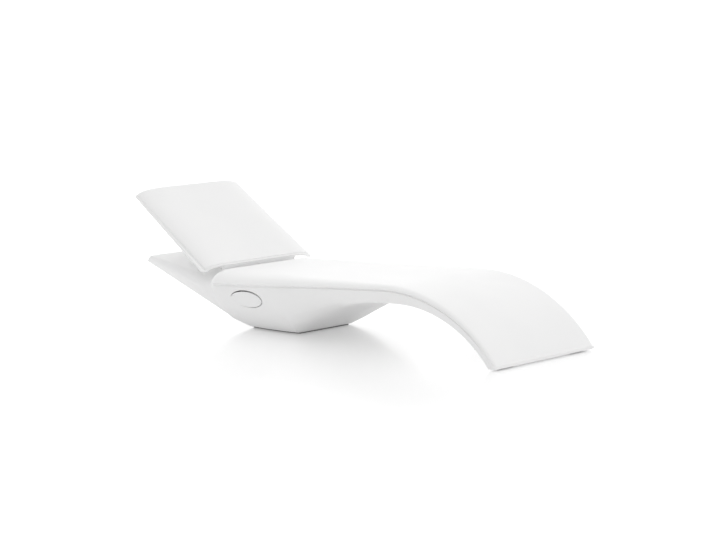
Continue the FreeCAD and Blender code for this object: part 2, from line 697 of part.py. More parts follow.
def panel_core(inset):
    """Deep middle of the panel: a tapered block with round corners, its hollow when inset."""
    start = -CORE_START - inset
    end = -CORE_END + inset
    low_half = PANEL_LOW_HALF_WIDTH - CORE_SIDE_SET - inset
    head_half = PANEL_HEAD_HALF_WIDTH - CORE_SIDE_SET - inset
    low = PANEL_BACK + inset
    corners = [V(start, -low_half, low), V(start, low_half, low)]
    corners += [V(end, head_half, low), V(end, -head_half, low)]
    face = Part.Face(Part.makePolygon(corners + corners[:1]))
    body = face.extrude(V(0, 0, PANEL_FACE - PANEL_FACE_WALL - low))
    uprights = [edge for edge in body.Edges if edge.BoundBox.XLength + edge.BoundBox.YLength < PANEL_WALL]
    return body.makeFillet(CORE_ROUND - inset, uprights)


def tongue():
    """Hinge tongue: a round barrel on the axis, carried under the panel's lower edge."""
    half = TONGUE_HALF_WIDTH
    barrel = across(BARREL_RADIUS, half * 2, 0, -half, 0)
    web = block(-TONGUE_LENGTH, -CORE_START, -half, half, 0, PANEL_BACK + PANEL_WALL)
    front = block(-CORE_START, BARREL_RADIUS, -half, half, 0, PANEL_BACK)
    return joined([barrel, web, front])


def backrest_shell():
    shell = panel_lid().fuse(panel_core(0.0)).cut(panel_core(PANEL_WALL))
    shell = shell.fuse(tongue()).removeSplitter()
    reach = TONGUE_HALF_WIDTH + CUT
    shell = shell.cut(across(AXLE_RADIUS + BUSH_FLANGE, reach * 2, 0, -reach, 0))
    seat = across(AXLE_RADIUS + RUN_FIT + BUSH_WALL, BUSH_LENGTH, 0, TONGUE_HALF_WIDTH - BUSH_LENGTH, 0)
    shell = shell.cut(seat).cut(mirrored(seat))
    for hole in prop_screw_holes():
        shell = shell.cut(hole).cut(mirrored(hole))
    return shell.cut(panel_vent_plug())


def panel_vent_plug():
    x = -CORE_END + PLUG_SET
    head = upright(PLUG_HEAD_RADIUS, PLUG_HEAD_HEIGHT, x, 0, PANEL_BACK - PLUG_HEAD_HEIGHT)
    return head.fuse(upright(PLUG_RADIUS, PANEL_WALL, x, 0, PANEL_BACK)).removeSplitter()


# Prop bail and its fixings on the panel
def prop_bracket():
    """Bearing block on the panel's back that holds one end of the prop."""
    inner = PROP_BRACKET_INNER
    outer = inner + PROP_BRACKET_BLOCK
    x = -PROP_REACH
    z = PROP_AXIS_HEIGHT
    plate = block(x - PROP_BRACKET_LENGTH / 2, x + PROP_BRACKET_LENGTH / 2, inner, outer,
                  PANEL_BACK - PROP_BRACKET_FLANGE, PANEL_BACK)
    ear = block(x - PROP_BRACKET_ROUND, x + PROP_BRACKET_ROUND, inner, outer, z, PANEL_BACK)
    ear = ear.fuse(across(PROP_BRACKET_ROUND, PROP_BRACKET_BLOCK, x, inner, z))
    bore = across(PROP_RADIUS + RUN_FIT, PROP_BRACKET_BLOCK + CUT, x, inner - CUT / 2, z)
    body = joined([plate, ear]).cut(bore)
    for place in prop_screw_places():
        body = body.cut(upright(SCREW_RADIUS + RUN_FIT, CUT, place, prop_screw_y(), PANEL_BACK - CUT))
    return body


def prop_screw_places():
    return [-PROP_REACH - PROP_SCREW_SPACING / 2, -PROP_REACH + PROP_SCREW_SPACING / 2]


def prop_screw_y():
    return PROP_BRACKET_INNER + PROP_BRACKET_BLOCK / 2


def prop_bracket_screws():
    pieces = []
    under = PANEL_BACK - PROP_BRACKET_FLANGE
    for place in prop_screw_places():
        head = upright(SCREW_HEAD_RADIUS, SCREW_HEAD_HEIGHT, place, prop_screw_y(), under - SCREW_HEAD_HEIGHT)
        shank = upright(SCREW_RADIUS, PROP_BRACKET_FLANGE + PANEL_WALL, place, prop_screw_y(), under)
        pieces.append(head.fuse(shank))
    return pieces


def prop_screw_holes():
    y = prop_screw_y()
    return [upright(SCREW_RADIUS, PANEL_WALL, place, y, PANEL_BACK) for place in prop_screw_places()]


def prop_wire():
    """Middle line of the bail: stub, leg, foot, leg, stub, with round bends; the foot lies along -X."""
    reach = PROP_LENGTH
    half = PROP_HALF_WIDTH
    stub = PROP_BRACKET_INNER + PROP_BRACKET_BLOCK + BUSH_FLANGE + PROP_STUB_END
    corners = [V(0, -stub, 0), V(0, -half, 0), V(-reach, -half, 0)]
    corners += [V(-reach, half, 0), V(0, half, 0), V(0, stub, 0)]
    edges = []
    start = corners[0]
    bends = [PROP_STUB_BEND, PROP_BEND, PROP_BEND, PROP_STUB_BEND]
    for before, corner, after, bend in zip(corners, corners[1:], corners[2:], bends):
        into = (corner - before).normalize()
        out = (after - corner).normalize()
        first = corner - into * bend
        last = corner + out * bend
        centre = first + out * bend
        middle = centre + (corner - centre).normalize() * bend
        edges.append(Part.makeLine(start, first))
        edges.append(Part.Arc(first, middle, last).toShape())
        start = last
    edges.append(Part.makeLine(start, corners[-1]))
    return Part.Wire(edges)


def prop_bail():
    path = prop_wire()
    ring = Part.Wire(Part.makeCircle(PROP_RADIUS, path.Vertexes[0].Point, Y_AXIS))
    return path.makePipeShell([ring], True, False)


def prop_sleeve():
    tube = across(PROP_RADIUS + SLEEVE_WALL, SLEEVE_LENGTH, -PROP_LENGTH, -SLEEVE_LENGTH / 2, 0)
    return tube.cut(across(PROP_RADIUS, SLEEVE_LENGTH * 2, -PROP_LENGTH, -SLEEVE_LENGTH, 0))


def prop_clip():
    """Push-on collar that keeps the prop's stub in its bracket."""
    start = PROP_BRACKET_INNER + PROP_BRACKET_BLOCK
    collar = across(PROP_BRACKET_ROUND - SIDE_PLAY, BUSH_FLANGE, 0, start, 0)
    return collar.cut(across(PROP_RADIUS, BUSH_FLANGE + CUT, 0, start - CUT / 2, 0))


def on_prop(shape):
    """Carries a prop piece from its own pivot to its place at rest: a two-equal-sides triangle."""
    placed = shape.copy()
    placed.rotate(V(0, 0, 0), Y_AXIS, TAIL_ANGLE - PROP_REST_LINE)
    pivot = on_panel(Part.Vertex(-PROP_REACH, 0, PROP_AXIS_HEIGHT)).Point
    placed.translate(pivot)
    return placed


def nodes():
    form = base_form()
    inner = hull_form(WALL)
    made = {"base_shell": base_shell(form, inner)}
    cap = oval_cap(form, inner)
    made["oval_cap_left"] = mirrored(cap)
    made["oval_cap_right"] = cap
    made["keel_glides"] = both_sides(keel_glides(form, KEEL_HEIGHT + GLIDE_SINK))
    made["foot_glides"] = both_sides(foot_glides(KEEL_HEIGHT + GLIDE_SINK))
    made["base_vent_plug"] = base_vent_plug()
    made["hinge_axle"] = on_tail(hinge_axle())
    for name, piece in (("hinge_bracket", hinge_bracket()), ("bracket_bush", bracket_bush()),
                        ("axle_nut", axle_nut()), ("rack_strip", rack_strip())):
        made[name + "_right"] = on_tail(piece)
        made[name + "_left"] = mirrored(on_tail(piece))
    for name, pieces in (("bracket_bolts", bracket_bolts()), ("bracket_inserts", tail_inserts()),
                         ("rack_screws", rack_screws()), ("bump_stops", [bump_stop()])):
        made[name] = both_sides([on_tail(piece) for piece in pieces])
    made["backrest_shell"] = on_panel(backrest_shell())
    made["backrest_vent_plug"] = on_panel(panel_vent_plug())
    for name, piece in (("barrel_bush", barrel_bush()), ("prop_bracket", prop_bracket())):
        made[name + "_right"] = on_panel(piece)
        made[name + "_left"] = mirrored(on_panel(piece))
    made["prop_bracket_screws"] = both_sides([on_panel(piece) for piece in prop_bracket_screws()])
    made["prop_bail"] = on_prop(prop_bail())
    made["prop_sleeve"] = on_prop(prop_sleeve())
    made["prop_clips"] = both_sides([on_prop(prop_clip())])
    return made


def main():
    os.makedirs("parts", exist_ok=True)
    made = nodes()
    box = Part.makeCompound(list(made.values())).optimalBoundingBox()
    shift = V(-(box.XMin + box.XMax) / 2, 0, 0)
    for name, shape in made.items():
        placed = shape.copy()
        placed.translate(shift)
        placed.exportStep(os.path.join("parts", name + ".step"))
        print(name, len(placed.Solids), "solids", placed.isValid(), round(placed.Volume))
    pivot = on_panel(Part.Vertex(-PROP_REACH, 0, PROP_AXIS_HEIGHT)).Point
    print("box", box)
    print("shift", shift.x, "hinge", HINGE + shift, "prop pivot", pivot + shift)


main()
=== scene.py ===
# %% [markdown]
# A white sun lounger, moulded in two hollow pieces: a long base that is seat, leg and hull in one,
# and a backrest that turns on a hinge behind the seat. The construction is loaded first as a fixed
# frame, with every piece at its real size in metres, and nothing in this lesson moves it.

# %% Load the frame
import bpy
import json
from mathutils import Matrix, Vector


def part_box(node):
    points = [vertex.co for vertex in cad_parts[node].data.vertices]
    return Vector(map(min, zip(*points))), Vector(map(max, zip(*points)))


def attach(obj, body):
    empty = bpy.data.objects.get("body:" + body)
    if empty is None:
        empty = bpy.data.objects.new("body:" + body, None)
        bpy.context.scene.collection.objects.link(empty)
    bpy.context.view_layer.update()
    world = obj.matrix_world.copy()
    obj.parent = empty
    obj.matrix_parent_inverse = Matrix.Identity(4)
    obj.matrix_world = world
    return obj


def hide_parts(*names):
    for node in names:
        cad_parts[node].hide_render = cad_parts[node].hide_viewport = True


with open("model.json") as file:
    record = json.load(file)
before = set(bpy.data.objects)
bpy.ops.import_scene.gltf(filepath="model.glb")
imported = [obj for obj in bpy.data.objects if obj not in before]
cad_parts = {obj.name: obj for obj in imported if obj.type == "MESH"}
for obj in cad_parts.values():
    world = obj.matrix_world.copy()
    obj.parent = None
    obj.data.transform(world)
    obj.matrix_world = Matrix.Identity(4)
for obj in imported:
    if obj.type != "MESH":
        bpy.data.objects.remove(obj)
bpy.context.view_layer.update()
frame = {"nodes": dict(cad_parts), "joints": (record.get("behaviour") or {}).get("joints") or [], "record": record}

import json
import math
import bmesh
import bpy
from mathutils import Matrix, Vector

nodes = frame["nodes"]
joints = {joint["name"]: joint for joint in frame["joints"]}
HINGE = Vector(joints["backrest_recline"]["pos_m"])
PROP_PIVOT = Vector(joints["prop_swing"]["pos_m"])
print(len(nodes), "nodes, hinge at", tuple(HINGE), "prop pivot at", tuple(PROP_PIVOT))

# %% [markdown]
# A procedural finish is a small graph of nodes. Each one here starts the same way: a shader, and
# Object coordinates, which stay with a piece when it turns on its hinge. A helper adds a node and
# joins its inputs in one line, so that each finish below reads as a short list of what it shows.

# %% Helpers for the finishes


class Finish:
    """A material under construction: its node tree, its shader and its Object coordinates."""

    def __init__(self, name, roughness, metallic=0.0):
        self.material = bpy.data.materials.new(name)
        self.material.use_nodes = True
        self.tree = self.material.node_tree
        self.shader = self.tree.nodes["Principled BSDF"]
        self.shader.inputs["Roughness"].default_value = roughness
        self.shader.inputs["Metallic"].default_value = metallic
        self.place = self.tree.nodes.new("ShaderNodeTexCoord").outputs["Object"]

    def join(self, source, target):
        self.tree.links.new(source, target)

    def noise(self, scale, detail=2.0, roughness=0.5, stretch=None):
        """Noise in turns per metre; a stretch draws it out along an axis."""
        node = self.tree.nodes.new("ShaderNodeTexNoise")
        node.inputs["Scale"].default_value = scale
        node.inputs["Detail"].default_value = detail
        node.inputs["Roughness"].default_value = roughness
        place = self.place
        if stretch:
            mapping = self.tree.nodes.new("ShaderNodeMapping")
            mapping.inputs["Scale"].default_value = stretch
            self.join(self.place, mapping.inputs["Vector"])
            place = mapping.outputs["Vector"]
        self.join(place, node.inputs["Vector"])
        return node.outputs["Fac"]

    def ramp(self, factor, low, high, start=0.35, end=0.65):
        """Two colours mixed by a factor."""
        node = self.tree.nodes.new("ShaderNodeValToRGB")
        node.color_ramp.elements[0].position = start
        node.color_ramp.elements[1].position = end
        node.color_ramp.elements[0].color = (*low, 1.0)
        node.color_ramp.elements[1].color = (*high, 1.0)
        self.join(factor, node.inputs["Fac"])
        return node.outputs["Color"]

    def spread(self, factor, low, high, start=0.3, end=0.7):
        """A factor stretched to run between two values."""
        node = self.tree.nodes.new("ShaderNodeMapRange")
        node.inputs["From Min"].default_value = start
        node.inputs["From Max"].default_value = end
        node.inputs["To Min"].default_value = low
        node.inputs["To Max"].default_value = high
        self.join(factor, node.inputs["Value"])
        return node.outputs["Result"]

    def colour(self, output):
        self.join(output, self.shader.inputs["Base Color"])

    def gloss(self, output):
        self.join(output, self.shader.inputs["Roughness"])

    def bump(self, factor, depth, strength=1.0, under=None):
        """Surface relief of a real depth in metres, laid over another relief if one is given."""
        node = self.tree.nodes.new("ShaderNodeBump")
        node.inputs["Distance"].default_value = depth
        node.inputs["Strength"].default_value = strength
        self.join(factor, node.inputs["Height"])
        if under:
            self.join(under, node.inputs["Normal"])
        self.join(node.outputs["Normal"], self.shader.inputs["Normal"])
        return node.outputs["Normal"]


print("finish helpers ready")

# %% [markdown]
# The shell is rotationally moulded polyethylene: powder melts against a heated, sand-blasted mould,
# so the skin is satin, with a fine pebble and a slow waviness where the wall cooled unevenly. A
# painted look would need clear coat; here a plain shader with a fine bump, slightly uneven gloss
# and a hardly visible drift of tone is closer to the real plastic.

# %% White moulding and cap finishes
PEBBLES_PER_METRE = 700.0
PEBBLE_DEPTH = 0.00012
WAVES_PER_METRE = 9.0
WAVE_DEPTH = 0.0006
DRIFTS_PER_METRE = 2.5


def moulded_white(name, low, high, gloss_low, gloss_high):
    finish = Finish(name, roughness=gloss_low)
    drift = finish.noise(DRIFTS_PER_METRE, detail=3.0)
    finish.colour(finish.ramp(drift, low, high))
    finish.gloss(finish.spread(finish.noise(WAVES_PER_METRE, detail=4.0), gloss_low, gloss_high))
    waves = finish.bump(finish.noise(WAVES_PER_METRE, detail=1.0), depth=WAVE_DEPTH, strength=0.35)
    pebbles = finish.noise(PEBBLES_PER_METRE, detail=2.0)
    finish.bump(pebbles, depth=PEBBLE_DEPTH, strength=0.5, under=waves)
    return finish.material


WHITE_MOULDING = moulded_white("white_moulding", (0.905, 0.905, 0.905), (0.925, 0.924, 0.922),
                               gloss_low=0.42, gloss_high=0.52)
WHITE_CAP = moulded_white("white_cap", (0.895, 0.896, 0.898), (0.915, 0.915, 0.915),
                          gloss_low=0.36, gloss_high=0.44)
print("made", WHITE_MOULDING.name, WHITE_CAP.name)

# %% [markdown]
# The small parts are of four stuffs. Rubber is dark and dusty, acetal bearings are smooth and slightly
# mottled, stainless parts have fine drawn lines, and the inserts are turned brass. Lines are the same
# noise drawn out along one axis, which costs nothing and never repeats.

# %% Rubber, bearing plastic and metal finishes


def grey_rubber():
    finish = Finish("grey_rubber", roughness=0.8)
    dust = finish.noise(60.0, detail=5.0)
    finish.colour(finish.ramp(dust, (0.085, 0.086, 0.088), (0.15, 0.15, 0.148)))
    finish.gloss(finish.spread(finish.noise(180.0, detail=3.0), 0.68, 0.88))
    finish.bump(finish.noise(1400.0, detail=3.0), depth=0.0001, strength=0.6)
    return finish.material


def bearing_plastic():
    finish = Finish("bearing_plastic", roughness=0.45)
    mottle = finish.noise(90.0, detail=3.0)
    finish.colour(finish.ramp(mottle, (0.31, 0.315, 0.32), (0.38, 0.382, 0.385)))
    finish.gloss(finish.spread(finish.noise(40.0, detail=3.0), 0.38, 0.52))
    finish.bump(finish.noise(1100.0), depth=0.00006, strength=0.5)
    return finish.material


def drawn_metal(name, low, high, stretch, gloss_low, gloss_high):
    finish = Finish(name, roughness=gloss_low, metallic=1.0)
    lines = finish.noise(900.0, detail=3.0, stretch=stretch)
    finish.colour(finish.ramp(lines, low, high))
    wear = finish.noise(120.0, detail=4.0, stretch=stretch)
    finish.gloss(finish.spread(wear, gloss_low, gloss_high))
    finish.bump(lines, depth=0.00004, strength=0.4)
    return finish.material


FINISHES = {
    "white_moulding": WHITE_MOULDING,
    "white_cap": WHITE_CAP,
    "grey_rubber": grey_rubber(),
    "bearing_plastic": bearing_plastic(),
    "stainless_steel": drawn_metal("stainless_steel", (0.5, 0.5, 0.49), (0.62, 0.62, 0.61),
                                   (1.0, 0.06, 1.0), 0.24, 0.38),
    "brass_insert": drawn_metal("brass_insert", (0.62, 0.45, 0.19), (0.75, 0.57, 0.27),
                                (1.0, 1.0, 0.2), 0.26, 0.4),
}
print("finishes:", sorted(FINISHES))

# %% [markdown]
# Each node of the frame names a material slot in its record. Giving every node the finish of its slot
# dresses the fixings that are not remade below, and does it without touching their meshes.

# %% Dress the nodes of the frame
SLOT_OF = {part["node"]: part["material_slot"] for part in frame["record"]["subparts"]}


def dress(piece, slot):
    piece.data.materials.clear()
    piece.data.materials.append(FINISHES[slot])


for name, node in nodes.items():
    dress(node, SLOT_OF[name])
print("dressed", len(SLOT_OF), "nodes")

# %% [markdown]
# Both mouldings are lofts: a closed outline across the piece, carried along it while it changes. In
# mesh terms the first outline is a ring of edges, and each step extrudes the ring and lays the new
# vertices on the next outline. Rings keep their order, so a line along the piece, such as an edge
# that needs rounding, is simply the same place in every ring.

# %% Helpers for modelling
ROUND_TURNS = range(0, 91, 15)
SMOOTH_LIMIT = math.radians(38)
FINE_WELD = 0.00001


def mixed(low, high, share):
    return low + (high - low) * share


def curve_points(start, pole, end, steps, reach=1.0):
    """Points after the start of a curve with one pole, up to a share of its length."""
    points = []
    for step in range(1, steps + 1):
        t = reach * step / steps
        points.append(tuple((1 - t) ** 2 * a + 2 * t * (1 - t) * b + t * t * c
                            for a, b, c in zip(start, pole, end)))
    return points


def line_points(start, end, steps):
    return curve_points(start, [(a + b) / 2 for a, b in zip(start, end)], end, steps)


def round_draw(distance, radius):
    """How far a surface draws in at a distance from an end that is rounded with a radius."""
    gap = max(0.0, radius - distance)
    return radius - math.sqrt(radius ** 2 - gap ** 2)


def round_steps(*radii):
    """Distances from a rounded end at which its outlines are close enough for a smooth turn."""
    turns = [math.radians(turn) for turn in ROUND_TURNS]
    return sorted({round(radius * (1 - math.cos(turn)), 6) for radius in radii for turn in turns})


def whole_ring(half):
    """Closes a right-hand half outline, top middle to bottom middle, with its mirror image."""
    return half + [(y * -1, z) for y, z in reversed(half[1:-1])]


def only_verts(made):
    return [item for item in made if isinstance(item, bmesh.types.BMVert)]


def loft(rings):
    """Extrudes a first ring of places through the others, caps both ends, returns mesh and rings."""
    bm = bmesh.new()
    verts = [bm.verts.new(place) for place in rings[0]]
    edges = [bm.edges.new(pair) for pair in zip(verts, verts[1:] + verts[:1])]
    loops = [verts]
    bmesh.ops.edgeloop_fill(bm, edges=edges)
    for ring in rings[1:]:
        made = bmesh.ops.extrude_edge_only(bm, edges=edges)["geom"]
        fresh = set(only_verts(made))
        edges = [item for item in made
                 if isinstance(item, bmesh.types.BMEdge) and fresh.issuperset(item.verts)]
        verts = [next(edge.other_vert(vert) for edge in vert.link_edges if edge.other_vert(vert) in fresh)
                 for vert in verts]
        for vert, place in zip(verts, ring):
            vert.co = place
        loops.append(verts)
    bmesh.ops.edgeloop_fill(bm, edges=edges)
    bmesh.ops.recalc_face_normals(bm, faces=bm.faces)
    if bm.calc_volume(signed=True) < 0:
        bmesh.ops.reverse_faces(bm, faces=bm.faces)
    return bm, loops


def flat_shape(places):
    """A bmesh with one face through the given places."""
    bm = bmesh.new()
    bmesh.ops.contextual_create(bm, geom=[bm.verts.new(place) for place in places])
    return bm


def drawn_out(bm, along):
    """Extrudes the faces of a bmesh into a solid; returns the vertices of its far end."""
    far = only_verts(bmesh.ops.extrude_face_region(bm, geom=bm.faces[:])["geom"])
    bmesh.ops.translate(bm, verts=far, vec=along)
    bmesh.ops.recalc_face_normals(bm, faces=bm.faces)
    return far


def ring_edges(bm, loop):
    return [bm.edges.get(pair) for pair in zip(loop, loop[1:] + loop[:1])]


def rounded(bm, edges, radius, segments=3):
    kept = [edge for edge in edges if edge is not None and edge.is_valid]
    bmesh.ops.bevel(bm, geom=kept, offset=radius, segments=segments, profile=0.5, affect="EDGES",
                    clamp_overlap=True, material=-1)


def sharp_edges(bm, degrees):
    limit = math.radians(degrees)
    return [edge for edge in bm.edges if len(edge.link_faces) == 2 and edge.calc_face_angle() > limit]


def piece_from(bm, name):
    """Turns a bmesh into an object at the origin with smooth faces and sharp edges kept."""
    mesh = bpy.data.meshes.new(name)
    bm.to_mesh(mesh)
    bm.free()
    piece = bpy.data.objects.new(name, mesh)
    bpy.context.scene.collection.objects.link(piece)
    shade(piece)
    return piece


def shade(piece):
    piece.data.shade_smooth()
    piece.data.set_sharp_from_angle(angle=SMOOTH_LIMIT)


def even_normals(piece):
    """Lets large faces lead the shading, so that rounded edges catch light and flats stay flat."""
    modifier = piece.modifiers.new("even_normals", "WEIGHTED_NORMAL")
    modifier.keep_sharp = True


def settle(piece, body, slot, *replaced):
    """Puts a finished piece on its body, names its finish and hides the nodes that it stands for."""
    dress(piece, slot)
    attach(piece, body)
    if replaced:
        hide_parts(*replaced)
    print("on", body, measure(piece))


def measure(piece):
    """Says how many faces a piece has, how many edges are not closed, and how much it holds."""
    bm = bmesh.new()
    bm.from_mesh(piece.data)
    gaps = sum(not edge.is_manifold for edge in bm.edges)
    litres = bm.calc_volume(signed=True) * 1000
    words = f"{piece.name}: {len(bm.faces)} faces, {gaps} open edges, {litres:.3f} litres"
    bm.free()
    return words


def combine(piece, tool, operation):
    """Joins, cuts or intersects a piece with a tool piece, which is then removed."""
    modifier = piece.modifiers.new("combine", "BOOLEAN")
    modifier.operation = operation
    modifier.solver = "EXACT"
    modifier.object = tool
    graph = bpy.context.evaluated_depsgraph_get()
    mesh = bpy.data.meshes.new_from_object(piece.evaluated_get(graph))
    piece.modifiers.clear()
    piece.data = mesh
    print(operation.lower(), measure(tool), "gives", measure(piece))
    bpy.data.objects.remove(tool)


def twin(piece, name):
    copy = piece.copy()
    copy.data = piece.data.copy()
    copy.name = name
    bpy.context.scene.collection.objects.link(copy)
    return copy


print("modelling helpers ready")

# %% [markdown]
# The base is drawn from the side first. The seat is a straight line that runs into one long arc down
# the leg; the underside is an arch of two arcs that are level at their meeting point, then the flat
# keel and a straight ramp up to the tail. Heights are worked out from these few sizes, back from the
# toe, so the visible skin follows the same lines as the construction.

# %% Side lines of the base
SEAT_END = 1.560
SEAT_REAR_HEIGHT = 0.262
KNEE_BACK = 0.540
KNEE_HEIGHT = 0.297
TOE_FACE_HEIGHT = 0.053
ARCH_BACK = 0.470
ARCH_HEIGHT = 0.223
FOOT_BACK = 0.012
KEEL_HEIGHT = 0.005
KEEL_FRONT_BACK = 1.190
KEEL_REAR_BACK = 1.470
NOSE_RADIUS = 0.010
NOSE_CREST = 0.001


def arc_radius(run, rise):
    """Radius of an arc that is level at one end and falls by the rise over the run."""
    return (run * run + rise * rise) / (2 * rise)


LEG_RADIUS = arc_radius(KNEE_BACK, KNEE_HEIGHT - TOE_FACE_HEIGHT)
LEG_CENTRE_HEIGHT = KNEE_HEIGHT - LEG_RADIUS
NOSE_HEIGHT = KEEL_HEIGHT + NOSE_RADIUS
NOSE_REACH = LEG_RADIUS + NOSE_CREST - NOSE_RADIUS
NOSE_FRONT = math.sqrt(NOSE_REACH ** 2 - (NOSE_HEIGHT - LEG_CENTRE_HEIGHT) ** 2) - KNEE_BACK
NOSE_CREST_FRONT = NOSE_FRONT + NOSE_RADIUS * (NOSE_FRONT + KNEE_BACK) / NOSE_REACH
TOE_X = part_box("base_shell")[1].x - NOSE_FRONT - NOSE_RADIUS


def seat_height(back):
    """Height of the seat's middle line."""
    lean = math.atan2(KNEE_HEIGHT - SEAT_REAR_HEIGHT, SEAT_END - KNEE_BACK)
    meet = KNEE_BACK + LEG_RADIUS * math.sin(lean)
    if back > meet:
        meet_height = KNEE_HEIGHT - LEG_RADIUS * (1 - math.cos(lean))
        return mixed(meet_height, SEAT_REAR_HEIGHT, (back - meet) / (SEAT_END - meet))
    return LEG_CENTRE_HEIGHT + math.sqrt(LEG_RADIUS ** 2 - (KNEE_BACK - back) ** 2)


def nose_half_height(back):
    """Half the height that the toe's round nose leaves at a place."""
    return math.sqrt(max(0.0, NOSE_RADIUS ** 2 - (-back - NOSE_FRONT) ** 2))


def arch_height(back, end):
    radius = arc_radius(abs(end - ARCH_BACK), ARCH_HEIGHT - KEEL_HEIGHT)
    return ARCH_HEIGHT - radius + math.sqrt(radius ** 2 - (back - ARCH_BACK) ** 2)


print("toe at x", round(TOE_X, 4), "nose front", round(NOSE_FRONT, 4))

# %% [markdown]
# Behind the seat the base narrows into a tail, which the backrest lies on when it is let down. Its top
# is flat and in line with the hinge, so that the prop under the backrest slides along it.

# %% Side lines of the tail
TAIL_LEAN = math.radians(10.2)
TAIL_LENGTH = 0.395
TAIL_TIP_THICK = 0.030
HINGE_RISE = 0.0155
TAIL_SLOPE = math.tan(TAIL_LEAN)
TAIL_UNDER_HINGE = HINGE_RISE / math.cos(TAIL_LEAN)
TAIL_ROOT_BACK = 1.530
TAIL_TIP_BACK = (TOE_X - HINGE.x) + TAIL_LENGTH * math.cos(TAIL_LEAN)


def tail_height(back):
    return HINGE.z - TAIL_UNDER_HINGE + (back - (TOE_X - HINGE.x)) * TAIL_SLOPE


def ramp_height(back):
    tip_low = tail_height(TAIL_TIP_BACK) - TAIL_TIP_THICK
    run = TAIL_TIP_BACK + TAIL_TIP_THICK - KEEL_REAR_BACK
    return mixed(KEEL_HEIGHT, tip_low, (back - KEEL_REAR_BACK) / run)


def under_height(back):
    """Height of the base's underside at a place."""
    if back < -NOSE_FRONT:
        return NOSE_HEIGHT - nose_half_height(back)
    if back < FOOT_BACK:
        return KEEL_HEIGHT
    if back < ARCH_BACK:
        return arch_height(back, FOOT_BACK)
    if back < KEEL_FRONT_BACK:
        return arch_height(back, KEEL_FRONT_BACK)
    if back < KEEL_REAR_BACK:
        return KEEL_HEIGHT
    return ramp_height(back)


print("tail tip at", round(TAIL_TIP_BACK, 3), "height", round(tail_height(TAIL_TIP_BACK), 3))

# %% [markdown]
# Across the base the outline has a flat middle, a rolled shoulder, a soft crease where the two halves
# of the mould part, and a side that draws in to the underside. At the toe the roll is small; under the
# hips it is broad, and the side sweeps in to the keel like a boat's. In front of the keel a round bilge
# turns the side into the arch. A table of stations carries these shares along the seat, and a smooth
# curve through them gives every outline in between, as a loft does.

# %% Shares along the base
# Place along the seat, rear roll, hull's flare, drawn-in rear flank, round bilge
STATION_shares = [
    (-0.040, 0.00, 0.00, 0.00, 0.00),
    (0.060, 0.00, 0.00, 0.00, 0.00),
    (0.180, 0.03, 0.00, 0.00, 0.00),
    (0.345, 0.10, 0.00, 0.00, 0.00),
    (0.450, 0.20, 0.08, 0.00, 0.40),
    (0.550, 0.32, 0.30, 0.00, 1.00),
    (0.630, 0.45, 0.60, 0.00, 1.00),
    (0.700, 0.58, 0.85, 0.00, 0.70),
    (0.760, 0.70, 1.00, 0.00, 0.00),
    (0.880, 0.88, 1.00, 0.25, 0.00),
    (1.000, 1.00, 1.00, 1.00, 0.00),
]


def shares_at(place):
    """The shares at a place along the seat, on a smooth curve through the stations."""
    last = len(STATION_shares) - 1
    index = min(sum(place >= row[0] for row in STATION_shares), last) - 1
    low, high = STATION_shares[index], STATION_shares[index + 1]
    span = high[0] - low[0]
    t = (place - low[0]) / span

    def slopes(at):
        before, after = STATION_shares[max(at - 1, 0)], STATION_shares[min(at + 1, last)]
        return [(b - a) / (after[0] - before[0]) * span for a, b in zip(before, after)]

    shares = []
    for a, b, out, into in list(zip(low, high, slopes(index), slopes(index + 1)))[1:]:
        share = mixed(a, b, t * t * (3 - 2 * t)) + t * (1 - t) ** 2 * out + t * t * (t - 1) * into
        shares.append(min(max(share, 0.0), 1.0))
    return shares


print("shares at mid seat:", [round(share, 2) for share in shares_at(0.5)])

# %% [markdown]
# From its shares, each place gets an outline: half of it is worked out, from the middle of the top to
# the middle of the underside, and the mirror image closes the ring. All rings have the same number of
# points, so that the skin can be extruded from one to the next.

# %% Outlines across the base
FOOT_HALF_WIDTH = 0.340
REAR_HALF_WIDTH = 0.364
SEAT_CORNER = 0.040
REAR_ROUND = 0.007
FOOT_ROLL = (0.024, 0.015)
REAR_ROLL = (0.130, 0.048)
LIP = 0.004
CREASE_DEPTHS = (0.0075, 0.0065)
CREASE_HEIGHTS = (0.010, 0.018)
CREASE_FADE = 0.060
SIDE_DEPTH = 0.293
ARCH_SIDE_DRAFT = 0.025
HULL_LOW_HALF_WIDTH = 0.045
BILGE_HALF_WIDTH = 0.160
BILGE_SINK = 0.008
ROLL_POLE_share = 0.15
SIDE_POLE_shares = (0.62, 0.35)
BILGE_POLE_share = 0.95
LEAST_REACH_share = 0.001
CHINE_TRIM_share = 0.6
STRAIGHT_LIMIT = 1e-9
TOP_STEPS, ROLL_STEPS, CREASE_STEPS, SIDE_STEPS, CHINE_STEPS, UNDER_STEPS = 6, 14, 10, 18, 8, 6
# Place from the toe in metres and how broadly side and underside run into each other there
CHINE_rounds = [(-0.1, 0.005), (0.50, 0.006), (0.75, 0.030), (0.95, 0.075), (1.10, 0.072),
                (1.19, 0.024), (1.26, 0.018), (1.47, 0.016), (1.60, 0.008)]


def side_reach(start, pole, low, under):
    """Share of the side's curve at which it meets the underside."""
    a, b, c = start - 2 * pole + low, 2 * (pole - start), start - under
    if c <= 0:
        return 0.0
    if abs(a) < STRAIGHT_LIMIT:
        return -c / b
    return (-b - math.sqrt(b * b - 4 * a * c)) / (2 * a)


def shoulder_points(top, half, roll, drop):
    points = [(0.0, top)]
    points += line_points(points[-1], (half - roll, top), TOP_STEPS)
    pole = (half - roll * ROLL_POLE_share, top)
    return points + curve_points(points[-1], pole, (half, top - drop), ROLL_STEPS)


